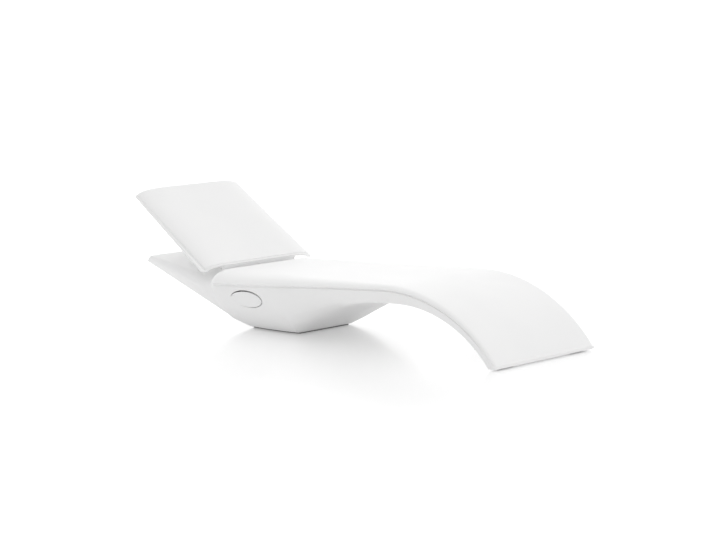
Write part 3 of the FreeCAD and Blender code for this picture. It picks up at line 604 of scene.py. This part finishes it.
def crease_points(half, top, depth, height):
    """A soft dip from the shoulder's edge to the start of the side."""
    shares = [step / CREASE_STEPS for step in range(1, CREASE_STEPS + 1)]
    return [(half - LIP * share - depth * math.sin(math.pi * share) ** 2, top - height * share)
            for share in shares]


def chine_round(back):
    """How broadly side and underside run into each other at a place."""
    index = sum(back >= row[0] for row in CHINE_rounds) - 1
    (start, low), (end, high) = CHINE_rounds[index], CHINE_rounds[index + 1]
    share = (back - start) / (end - start)
    return mixed(low, high, share * share * (3 - 2 * share))


def side_points(side, start, pole, low_half, low, under, turn):
    """The side's curve, stopped short of its corner, the turn round the corner and the underside."""
    reach = max(side_reach(start, pole, low, under), LEAST_REACH_share)
    corner = curve_points((side, start), (side, pole), (low_half, low), 1, reach)[0]
    speed = math.hypot(2 * reach * (low_half - side),
                       2 * (1 - reach) * (pole - start) + 2 * reach * (low - pole))
    trim = min(turn / max(speed, LEAST_REACH_share), reach * CHINE_TRIM_share)
    points = curve_points((side, start), (side, pole), (low_half, low), SIDE_STEPS, reach - trim)
    points += curve_points(points[-1], corner, (max(corner[0] - turn, 0.0), under), CHINE_STEPS)
    return points + line_points(points[-1], (0.0, under), UNDER_STEPS)


def nose_ends(back):
    """Heights of the toe's round nose, underside and top."""
    half = nose_half_height(back)
    return NOSE_HEIGHT - half, NOSE_HEIGHT + half if -back > NOSE_CREST_FRONT else seat_height(back)


def base_ring(back):
    """Outline at a place; in front of the foot it is the foot's own outline, pressed into the nose."""
    front, back = back, max(back, -NOSE_FRONT)
    top, under = seat_height(back), under_height(back)
    place = back / SEAT_END
    roll, flare, rear, bilge = shares_at(place)
    half = mixed(FOOT_HALF_WIDTH, REAR_HALF_WIDTH, min(1.0, place + roll) if place > 0 else 0.0)
    half -= round_draw(SEAT_END - back, SEAT_CORNER)
    top -= round_draw(SEAT_END - back, REAR_ROUND)
    width, drop = (mixed(foot, hips, roll) for foot, hips in zip(FOOT_ROLL, REAR_ROLL))
    crease, side = top - drop, half - LIP
    arch = arch_height(min(max(back, ARCH_BACK), KEEL_FRONT_BACK), KEEL_FRONT_BACK)
    low = mixed(crease - SIDE_DEPTH, arch - BILGE_SINK, bilge)
    low_half = mixed(mixed(half - ARCH_SIDE_DRAFT, HULL_LOW_HALF_WIDTH, flare), BILGE_HALF_WIDTH, bilge)
    pole = mixed(crease, low, mixed(mixed(*SIDE_POLE_shares, rear), BILGE_POLE_share, bilge))
    outline = shoulder_points(top, half, width, drop)
    dip, fall = (mixed(*pair, roll) for pair in (CREASE_DEPTHS, CREASE_HEIGHTS))
    fade = min(max(back / CREASE_FADE, 0.0), 1.0)
    outline += crease_points(half, crease, dip * fade, fall)
    outline += side_points(side, crease - fall, pole, low_half, low, under, chine_round(back))
    floor, ceiling = nose_ends(front) if front < back else (under, top)
    ring = whole_ring([(y, mixed(floor, ceiling, (max(z, under) - under) / (top - under)))
                       for y, z in outline])
    return [(TOE_X - front, y, z) for y, z in ring]


print("outline of", len(base_ring(1.0)), "points")

# %% [markdown]
# The stations of the skin are close together where the toe turns and further apart along the seat.
# Behind the seat they close up again, because the outlines themselves draw in there to round the rear
# edge and its corners. Every other rounding is in the outlines already, so the loft needs no bevel.

# %% Skin of the hull
NOSE_TURNS = range(18, 90, 12)
NOSE_STEPS, LEG_STEPS, ARCH_STEPS, KEEL_STEPS, REAR_STEPS = 3, 30, 44, 18, 4
HULL_WELD = 0.00005


def spaced(start, end, steps):
    return [mixed(start, end, step / steps) for step in range(steps)]


def hull_places():
    nose = [-NOSE_FRONT - NOSE_RADIUS * math.cos(math.radians(turn)) for turn in NOSE_TURNS]
    rear = [SEAT_END - step for step in reversed(round_steps(SEAT_CORNER, REAR_ROUND))]
    return (nose + spaced(-NOSE_FRONT, FOOT_BACK, NOSE_STEPS) + spaced(FOOT_BACK, ARCH_BACK, LEG_STEPS)
            + spaced(ARCH_BACK, KEEL_FRONT_BACK, ARCH_STEPS)
            + spaced(KEEL_FRONT_BACK, KEEL_REAR_BACK, KEEL_STEPS)
            + spaced(KEEL_REAR_BACK, rear[0], REAR_STEPS) + rear)


def hull_skin():
    bm, _ = loft([base_ring(back) for back in hull_places()])
    bmesh.ops.dissolve_degenerate(bm, dist=HULL_WELD, edges=bm.edges)
    return piece_from(bm, "base_moulding")


base = hull_skin()
print(measure(base))

# %% [markdown]
# The tail is a second, straight loft that starts inside the hull and leans back at its tip. Beside the
# hinge its top sweeps up to the seat in two low cheeks. Joining it with a boolean leaves the same plain
# step behind the seat that the mould leaves, with no inner faces.

# %% Tail joined to the hull
TAIL_ROOT = {"half": 0.326, "roll": 0.070, "drop": 0.046, "low_half": 0.214}
TAIL_TIP = {"half": 0.297, "roll": 0.016, "drop": 0.009, "low_half": 0.288}
TAIL_EDGE_ROUND = 0.006
CHEEK_RISE = 0.028
CHEEK_RUN = 0.045
CHEEK_SIDES = (0.222, 0.262)
TAIL_TIP_ROUND = 0.003
JOIN_RISE = 0.0003
# Shares of the tail's length, close together where the cheeks rise
TAIL_shares = [step / 60 for step in range(12)] + [step / 10 for step in range(2, 11)]


def tail_ring(back, sizes, under, lean):
    top, half = tail_height(back), sizes["half"]
    crease = top - sizes["drop"]
    outline = shoulder_points(top, half, sizes["roll"], sizes["drop"])
    pole = mixed(crease, under, SIDE_POLE_shares[1])
    outline += side_points(half, crease, pole, sizes["low_half"], under, under, TAIL_EDGE_ROUND)
    return [(TOE_X - back - (top - z) * lean, y, z) for y, z in whole_ring(outline)]


def cheek(place):
    """Raises the tail's top beside the hinge, in a hollow curve that runs up to the seat."""
    inner, outer = CHEEK_SIDES
    near = min(max(1 - (TOE_X - SEAT_END - place.x) / CHEEK_RUN, 0.0), 1.0)
    side = min(max((abs(place.y) - inner) / (outer - inner), 0.0), 1.0)
    above = place.z > tail_height(TOE_X - place.x) - TAIL_ROOT["drop"]
    return Vector((0, 0, CHEEK_RISE * near * near * side * side * (3 - 2 * side) * above))


def tail_skin():
    root = tail_ring(TAIL_ROOT_BACK, TAIL_ROOT, ramp_height(TAIL_ROOT_BACK) + JOIN_RISE, 0.0)
    tip = tail_ring(TAIL_TIP_BACK, TAIL_TIP, tail_height(TAIL_TIP_BACK) - TAIL_TIP_THICK, 1.0)
    rings = [[Vector(a).lerp(Vector(b), share) for a, b in zip(root, tip)] for share in TAIL_shares]
    bm, loops = loft([[place + cheek(place) for place in ring] for ring in rings])
    rounded(bm, ring_edges(bm, loops[-1]), TAIL_TIP_ROUND)
    bmesh.ops.dissolve_degenerate(bm, dist=FINE_WELD, edges=bm.edges)
    return piece_from(bm, "tail_skin")


combine(base, tail_skin(), "UNION")
print("with its tail,", measure(base))

# %% [markdown]
# An oval cap closes a hand-sized port in each flank, flush with the hull and parted from it by a fine
# shadow gap. Cutting the cap out of the hull itself keeps it flush: the skin is intersected with an
# oval bar for the cap, and cut by a slightly larger bar for the socket. The cap hangs in the play of
# its socket, so the gap is wide above it and nearly closed below.

# %% Oval caps and their sockets
OVAL_BACK = 1.337
OVAL_HEIGHT = 0.160
OVAL_SIZE = (0.178, 0.070)
OVAL_TILT = math.radians(-1)
OVAL_GAP = 0.0042
FLANGE_PLAY = 0.0038
CAP_SLACK = (-0.0027, 0.0, -0.0024)
FLANGE_SET = 0.020
OVAL_FLOOR = 0.316
OVAL_REACH = 0.42
OVAL_SIDES = 72
OVAL_ROUND = 0.0012
OVAL_WELD = 0.00002
OVAL_RIM_DEGREES = 45
OVAL_NEAR_shares = (1.0, 0.8)


def oval_bar(grow, side):
    """Oval bar that runs out through one flank."""
    bm = bmesh.new()
    bmesh.ops.create_circle(bm, cap_ends=True, segments=OVAL_SIDES, radius=1.0)
    bmesh.ops.scale(bm, verts=bm.verts, vec=(OVAL_SIZE[0] / 2 + grow, OVAL_SIZE[1] / 2 + grow, 1.0))
    turn = Matrix.Rotation(OVAL_TILT, 4, "Y") @ Matrix.Rotation(math.pi / 2, 4, "X")
    bmesh.ops.transform(bm, verts=bm.verts, matrix=turn)
    bmesh.ops.translate(bm, verts=bm.verts, vec=(TOE_X - OVAL_BACK, side * OVAL_FLOOR, OVAL_HEIGHT))
    drawn_out(bm, (0, side * (OVAL_REACH - OVAL_FLOOR), 0))
    return piece_from(bm, "oval_bar")


def near_oval(vert):
    along, up = (size * share for size, share in zip(OVAL_SIZE, OVAL_NEAR_shares))
    return abs(vert.co.x - TOE_X + OVAL_BACK) < along and abs(vert.co.z - OVAL_HEIGHT) < up


def round_oval_rim(piece, y_low):
    """Softens the rim where the oval meets the flank's surface."""
    bm = bmesh.new()
    bm.from_mesh(piece.data)
    bmesh.ops.remove_doubles(bm, verts=bm.verts, dist=OVAL_WELD)
    rim = [edge for edge in sharp_edges(bm, OVAL_RIM_DEGREES)
           if all(near_oval(vert) and abs(vert.co.y) > y_low for vert in edge.verts)]
    rounded(bm, rim, OVAL_ROUND, segments=2)
    bm.to_mesh(piece.data)
    bm.free()
    shade(piece)


caps = {}
for name, side in (("left", -1), ("right", 1)):
    cap = twin(base, "oval_cap_disc_" + name)
    combine(cap, oval_bar(0.0, side), "INTERSECT")
    flange = twin(base, "oval_flange")
    flange.data.transform(Matrix.Translation((0, -side * FLANGE_SET, 0)))
    combine(flange, oval_bar(OVAL_GAP - FLANGE_PLAY, side), "INTERSECT")
    combine(cap, flange, "UNION")
    cap.data.transform(Matrix.Translation(CAP_SLACK))
    caps[name] = cap
for side in (-1, 1):
    combine(base, oval_bar(OVAL_GAP, side), "DIFFERENCE")
round_oval_rim(base, OVAL_FLOOR + OVAL_GAP)
even_normals(base)
settle(base, "base", "white_moulding", "base_shell")
for name, cap in caps.items():
    round_oval_rim(cap, OVAL_FLOOR + OVAL_GAP)
    even_normals(cap)
    settle(cap, "base", "white_cap", "oval_cap_" + name)

# %% [markdown]
# The keel stands on rubber pads, and the ground under the keel's edge lies in a thin line of shade. A
# dark rubber strip that follows the keel's edge paints that shade as one dark line all the way round,
# where the single pads would leave light between them. Its outline is read from the hull's own outlines,
# at the place where the side has turned flat; the strip is then a face, inset to a frame and drawn down
# to the ground.

# %% Dark rubber strip under the keel, painted shade
STRIP_SET = 0.003
STRIP_WIDTH = 0.030
STRIP_SEATED = 0.0004
STRIP_TOP = KEEL_HEIGHT + STRIP_SEATED
STRIP_ROUND = 0.0012
STRIP_STEPS = 24
STRIP_RIM_DEGREES = 50


def keel_edge():
    turned_flat = TOP_STEPS + ROLL_STEPS + CREASE_STEPS + SIDE_STEPS + CHINE_STEPS
    front, rear = KEEL_FRONT_BACK + STRIP_SET, KEEL_REAR_BACK - STRIP_SET
    return [base_ring(back)[turned_flat] for back in spaced(front, rear, STRIP_STEPS) + [rear]]


# A dark strip that paints the line of shade under the keel's edge.
def keel_shade_strip():
    edge = [(x, y - STRIP_SET, STRIP_TOP) for x, y, _ in keel_edge()]
    bm = flat_shape(edge + [(x, -y, z) for x, y, z in reversed(edge)])
    middle = bm.faces[:]
    bmesh.ops.inset_region(bm, faces=middle, thickness=STRIP_WIDTH, use_boundary=True,
                           use_even_offset=True)
    bmesh.ops.delete(bm, geom=middle, context="FACES")
    drawn_out(bm, (0, 0, -STRIP_TOP))
    rounded(bm, sharp_edges(bm, STRIP_RIM_DEGREES), STRIP_ROUND, segments=2)
    return piece_from(bm, "keel_shade_strip")


# The strip of painted shade stands in for the keel's rubber pads, which are hidden.
settle(keel_shade_strip(), "base", "grey_rubber", "keel_glides")

# %% [markdown]
# The backrest is a crowned lid whose sides roll down, more at the head than at the hinge, over a deep
# hollow middle. It is drawn in its own frame, with the hinge axis at the origin, then turned up to its
# angle. The lid is a loft once more: a pillow that steps down to a narrow flange, which is broad at the
# hinge and fine at the head. No single bevel would suit that, so the outlines carry the roundings, and
# draw in near both ends.

# %% Lid of the backrest
REST_ANGLE = math.radians(34.8)
PANEL_START = 0.008
PANEL_LENGTH = 0.548
PANEL_FACE = 0.048
PANEL_BACK = 0.017
PANEL_RIMS = (0.014, 0.007)
PANEL_ROLLS = (0.120, 0.170)
PANEL_HALF_WIDTHS = (0.361, 0.333)
PILLOW_DROPS = (0.022, 0.030)
PILLOW_STEPS = (0.0045, 0.002)
PILLOW_POLE_share = 0.08
FLANGE_THICK = 0.009
FLANGE_WIDTHS = (0.020, 0.005)
FLANGE_ENDS = (0.008, 0.004)
FLANGE_FALL = 0.001
PANEL_STEPS = 22
CORNER_ROUND = 0.014
RIM_ROUND = 0.0032
RIM_ROUND_shares = (0.3, 0.4)
RIM_REACH_share = 0.94
RIM_STEPS = 5


def lid_roll(top, half, edge, roll):
    """The curve from the lid's flat middle down its side, stopped just short of the edge."""
    start, pole = (half - roll, top), (half - roll * PILLOW_POLE_share, top)
    return [start] + curve_points(start, pole, (half, edge), ROLL_STEPS, RIM_REACH_share)


def lid_ring(along):
    share, end = along / PANEL_LENGTH, min(along, PANEL_LENGTH - along)
    roll, drop, rim, step = (mixed(*pair, share)
                             for pair in (PANEL_ROLLS, PILLOW_DROPS, PANEL_RIMS, PILLOW_STEPS))
    ledge = FLANGE_ENDS[round(share)]
    half = mixed(*PANEL_HALF_WIDTHS, share) - round_draw(end, CORNER_ROUND)
    inner = half - mixed(*FLANGE_WIDTHS, share)
    sink = round_draw(end, min(RIM_ROUND, rim * RIM_ROUND_shares[0]))
    top = PANEL_FACE - sink - round_draw(max(end - ledge, 0.0), step)
    under = PANEL_FACE - rim + sink
    flange = PANEL_FACE - drop - step - sink
    low, high = flange - FLANGE_THICK + sink * 2, flange - FLANGE_FALL
    turn = min(RIM_ROUND, (high - low) * RIM_ROUND_shares[1])
    pillow = lid_roll(top, inner, top - drop, roll)
    hollow = lid_roll(under, inner, low, roll)
    points = [(0.0, top)] + line_points((0.0, top), pillow[0], TOP_STEPS) + pillow[1:]
    points += curve_points(points[-1], (inner, top - drop), (inner, flange), RIM_STEPS)
    points.append((half - turn, high))
    points += curve_points(points[-1], (half, high), (half, high - turn), RIM_STEPS)
    points.append((half, low + turn))
    points += curve_points(points[-1], (half, low), (half - turn, low), RIM_STEPS) + hollow[-1:]
    points += hollow[-2::-1] + line_points(hollow[0], (0.0, under), TOP_STEPS)
    return [(-PANEL_START - along, y, z) for y, z in whole_ring(points)]


def end_steps(ledge, step):
    """Distances from an end of the lid: its rounded rim, the flange's ledge and the pillow's edge."""
    pillow = [round(ledge + turn, 6) for turn in round_steps(step)]
    return sorted(set(round_steps(CORNER_ROUND, RIM_ROUND) + pillow))


def lid_places():
    low, head = (end_steps(ledge, step) for ledge, step in zip(FLANGE_ENDS, PILLOW_STEPS))
    head = [PANEL_LENGTH - step for step in reversed(head)]
    return low[:-1] + spaced(low[-1], head[0], PANEL_STEPS) + head


def lid_skin():
    bm, _ = loft([lid_ring(along) for along in lid_places()])
    bmesh.ops.dissolve_degenerate(bm, dist=FINE_WELD, edges=bm.edges)
    return piece_from(bm, "backrest_moulding")


backrest = lid_skin()
print(measure(backrest))

# %% [markdown]
# Under the lid hangs the deep middle, whose lower end slopes so that it stands upright behind the
# seat, and under that end the hinge tongue: a barrel round the axle and a web that carries it. Both
# are flat shapes drawn out with an extrusion; the middle has its corners bevelled first and its edges
# after. Booleans join them to the lid and drill the barrel for the axle and its bushes.

# %% Deep middle and hinge tongue
CORE_START, CORE_END = 0.0085, 0.516
CORE_HALF_WIDTHS = (0.236, 0.208)
CORE_TOP = 0.0435
CORE_ROUND = 0.010
CORE_EDGE_ROUND = 0.003
CORE_NOSE = 0.0145
CORE_CORNER_STEPS = 8
CORE_FRONT_share = 1.01
TONGUE_HALF_WIDTH = 0.143
TONGUE_BACK = -0.040
TONGUE_TOP = 0.022
BARREL_RADIUS = 0.012
BARREL_STEPS = 20
TONGUE_EDGE_ROUND = 0.0015
TONGUE_EDGE_DEGREES = 40
BORE_RADIUS = 0.007
BORE_SIDES = 48
BUSH_RADIUS = 0.00805
BUSH_LENGTH = 0.024


def panel_core():
    (low, head), top = CORE_HALF_WIDTHS, CORE_TOP
    bm = flat_shape([(-CORE_START, -low, top), (-CORE_START, low, top),
                     (-CORE_END, head, top), (-CORE_END, -head, top)])
    bmesh.ops.bevel(bm, geom=bm.verts[:], offset=CORE_ROUND, segments=CORE_CORNER_STEPS, profile=0.5,
                    affect="VERTICES", material=-1)
    far = set(drawn_out(bm, (0, 0, PANEL_BACK - CORE_TOP)))
    front = [vert for vert in far if vert.co.x > -CORE_START - CORE_ROUND * CORE_FRONT_share]
    bmesh.ops.translate(bm, verts=front, vec=(CORE_NOSE, 0, 0))
    rounded(bm, [edge for edge in bm.edges if far.issuperset(edge.verts)], CORE_EDGE_ROUND)
    return piece_from(bm, "panel_core")


def panel_tongue():
    half = TONGUE_HALF_WIDTH
    turns = [math.pi * (1 + step / BARREL_STEPS) for step in range(BARREL_STEPS + 1)]
    outline = [(BARREL_RADIUS * math.cos(turn), BARREL_RADIUS * math.sin(turn)) for turn in turns]
    behind = -CORE_START - TONGUE_EDGE_ROUND
    outline += [(BARREL_RADIUS, PANEL_BACK), (behind, PANEL_BACK), (behind, TONGUE_TOP),
                (TONGUE_BACK, TONGUE_TOP), (TONGUE_BACK, 0.0)]
    bm = flat_shape([(x, -half, z) for x, z in outline])
    drawn_out(bm, (0, half * 2, 0))
    rounded(bm, sharp_edges(bm, TONGUE_EDGE_DEGREES), TONGUE_EDGE_ROUND, segments=2)
    return piece_from(bm, "panel_tongue")


def axle_bore(radius, start, end):
    bm = bmesh.new()
    bmesh.ops.create_cone(bm, cap_ends=True, segments=BORE_SIDES, radius1=radius, radius2=radius,
                          depth=end - start)
    bmesh.ops.rotate(bm, verts=bm.verts, matrix=Matrix.Rotation(math.pi / 2, 3, "X"))
    bmesh.ops.translate(bm, verts=bm.verts, vec=(0, (start + end) / 2, 0))
    return piece_from(bm, "axle_bore")


combine(backrest, panel_core(), "UNION")
combine(backrest, panel_tongue(), "UNION")
reach = TONGUE_HALF_WIDTH + BUSH_LENGTH
combine(backrest, axle_bore(BORE_RADIUS, -reach, reach), "DIFFERENCE")
for side in (-1, 1):
    seat = sorted((side * (TONGUE_HALF_WIDTH - BUSH_LENGTH), side * reach))
    combine(backrest, axle_bore(BUSH_RADIUS, *seat), "DIFFERENCE")
shade(backrest)
HINGE_PLACE = Matrix.Translation(HINGE) @ Matrix.Rotation(REST_ANGLE, 4, "Y")
backrest.data.transform(HINGE_PLACE)
even_normals(backrest)
settle(backrest, "backrest", "white_moulding", "backrest_shell")

# %% [markdown]
# White objects are photographed against the light: a broad ceiling and a bright wall behind them, a dark
# room on the camera's side, and a pale, glossy floor. The upright faces that look at the dark room stand
# out from the flat ones, and the floor mirrors the wall, except where the object stands in its way. One
# sky does it all: its strength depends on where a ray goes, up, to the back or to the front.

# %% Floor and light
FLOOR_HALF = 90.0
FLOOR_GLOW = 0.14
FLOOR_ROUGHNESS = 0.16
FLOOR_SPECULAR = 0.35
FLOOR_TONES = ((0.89, 0.89, 0.89), (0.91, 0.91, 0.91))
TO_WALL = (-0.5, 0.87, 0.0)
SKY_FRONT = 0.58
SKY_WALL = 1.5
SKY_ZENITH = 0.99
SKY_TURN = 0.7


def light_table():
    bm = bmesh.new()
    bmesh.ops.create_grid(bm, x_segments=2, y_segments=2, size=FLOOR_HALF)
    floor = piece_from(bm, "studio_floor")
    finish = Finish("pale_floor", roughness=FLOOR_ROUGHNESS)
    finish.shader.inputs["Specular IOR Level"].default_value = FLOOR_SPECULAR
    finish.shader.inputs["Emission Color"].default_value = (1.0, 1.0, 1.0, 1.0)
    finish.shader.inputs["Emission Strength"].default_value = FLOOR_GLOW
    finish.colour(finish.ramp(finish.noise(0.4, detail=2.0), *FLOOR_TONES))
    floor.data.materials.append(finish.material)


def studio_sky():
    """White sky: dark at the camera's side, bright at the wall behind and straight above."""
    world = bpy.data.worlds.new("studio_sky")
    bpy.context.scene.world = world
    world.use_nodes = True
    tree = world.node_tree
    sky = tree.nodes["Background"]
    sky.inputs["Color"].default_value = (1.0, 1.0, 1.0, 1.0)
    ray = tree.nodes.new("ShaderNodeTexCoord").outputs["Generated"]
    toward = tree.nodes.new("ShaderNodeVectorMath")
    toward.operation = "DOT_PRODUCT"
    toward.inputs[1].default_value = TO_WALL
    tree.links.new(ray, toward.inputs[0])
    around = tree.nodes.new("ShaderNodeMapRange")
    around.interpolation_type = "SMOOTHSTEP"
    for name, value in (("From Min", -SKY_TURN), ("From Max", SKY_TURN),
                        ("To Min", SKY_FRONT), ("To Max", SKY_WALL)):
        around.inputs[name].default_value = value
    tree.links.new(toward.outputs["Value"], around.inputs["Value"])
    split = tree.nodes.new("ShaderNodeSeparateXYZ")
    tree.links.new(ray, split.inputs["Vector"])
    rise = tree.nodes.new("ShaderNodeMapRange")
    rise.interpolation_type = "SMOOTHSTEP"
    tree.links.new(split.outputs["Z"], rise.inputs["Value"])
    tree.links.new(around.outputs["Result"], rise.inputs["To Min"])
    rise.inputs["To Max"].default_value = SKY_ZENITH
    tree.links.new(rise.outputs["Result"], sky.inputs["Strength"])


light_table()
studio_sky()
bpy.context.scene.view_settings.view_transform = "Standard"
print("studio ready")

# %% [markdown]
# The camera stands low and far off to the foot end, with a long lens, which is why the lounger looks
# nearly without perspective. Its place was worked out from the object's known corners.

# %% Camera
CAMERA_PLACE = (6.892, -7.907, 1.749)
CAMERA_YAW = 0.716
CAMERA_PITCH = 0.139
LENS = 121.72
SENSOR_WIDTH = 36.0
CLIP_END = 200.0

camera_data = bpy.data.cameras.new("photo_camera")
camera_data.lens = LENS
camera_data.sensor_width = SENSOR_WIDTH
camera_data.clip_end = CLIP_END
camera = bpy.data.objects.new("photo_camera", camera_data)
camera.location = CAMERA_PLACE
camera.rotation_euler = (math.pi / 2 - CAMERA_PITCH, 0.0, CAMERA_YAW)
bpy.context.scene.collection.objects.link(camera)
bpy.context.scene.camera = camera
print("camera lens", LENS)
